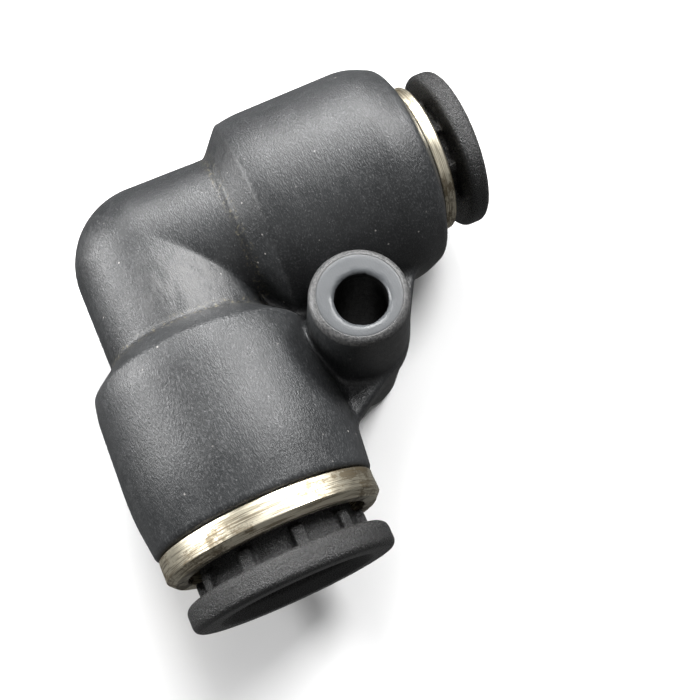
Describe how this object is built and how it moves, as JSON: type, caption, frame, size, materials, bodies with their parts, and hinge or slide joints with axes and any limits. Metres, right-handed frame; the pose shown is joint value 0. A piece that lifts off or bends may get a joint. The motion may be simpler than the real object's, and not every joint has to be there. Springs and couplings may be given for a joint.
{
  "type": "push to connect fitting",
  "caption": "Push-in union elbow for pneumatic tube: moulded body with screw boss, a large and a small port, each with a plated ring and a release button.",
  "frame": {"origin": "under the middle of the fitting's box, on the surface that the fitting lies on", "axes": "large port opens along +X, small port opens along +Y, the screw boss stands along +Z; the port axes cross at (-9.225, -8.475, 8.85) mm"},
  "size_m": [0.0362, 0.0346, 0.0177],
  "materials": {
    "moulded_black": "fine moulded grain, soft sheen, dust in corners",
    "button_black": "spark-eroded grain with small glints",
    "plated_ring": "warm nickel plate over turned brass, fine turning lines",
    "plated_inner": "plain nickel plate",
    "stainless_spring": "rolled spring stainless",
    "seal_rubber": "dull nitrile rubber",
    "stiff_plastic": "natural white acetal"
  },
  "bodies": {
    "fitting": {"body": "moulded_black", "large_lip_seal": "seal_rubber", "large_backing_ring": "stiff_plastic", "large_guide_ring": "plated_ring", "small_lip_seal": "seal_rubber", "small_backing_ring": "stiff_plastic", "small_guide_ring": "plated_ring"},
    "large_grip": {"large_collet": "plated_inner", "large_lock_claw": "stainless_spring"},
    "large_button": {"large_release_button": "button_black"},
    "small_grip": {"small_collet": "plated_inner", "small_lock_claw": "stainless_spring"},
    "small_button": {"small_release_button": "button_black"}
  },
  "joints": [
    {"name": "large_swivel", "type": "hinge", "parent": "fitting", "child": "large_grip", "pos_m": [0.008, -0.00847, 0.00885], "axis": [1, 0, 0], "continuous": true},
    {"name": "large_release", "type": "slide", "parent": "large_grip", "child": "large_button", "axis": [-1, 0, 0], "range_m": [0, 0.0013], "stiffness_N_per_m": 2000, "springref_m": -0.0005},
    {"name": "small_swivel", "type": "hinge", "parent": "fitting", "child": "small_grip", "pos_m": [-0.00923, 0.01, 0.00885], "axis": [0, 1, 0], "continuous": true},
    {"name": "small_release", "type": "slide", "parent": "small_grip", "child": "small_button", "axis": [0, -1, 0], "range_m": [0, 0.00085], "stiffness_N_per_m": 2000, "springref_m": -0.0005}
  ]
}
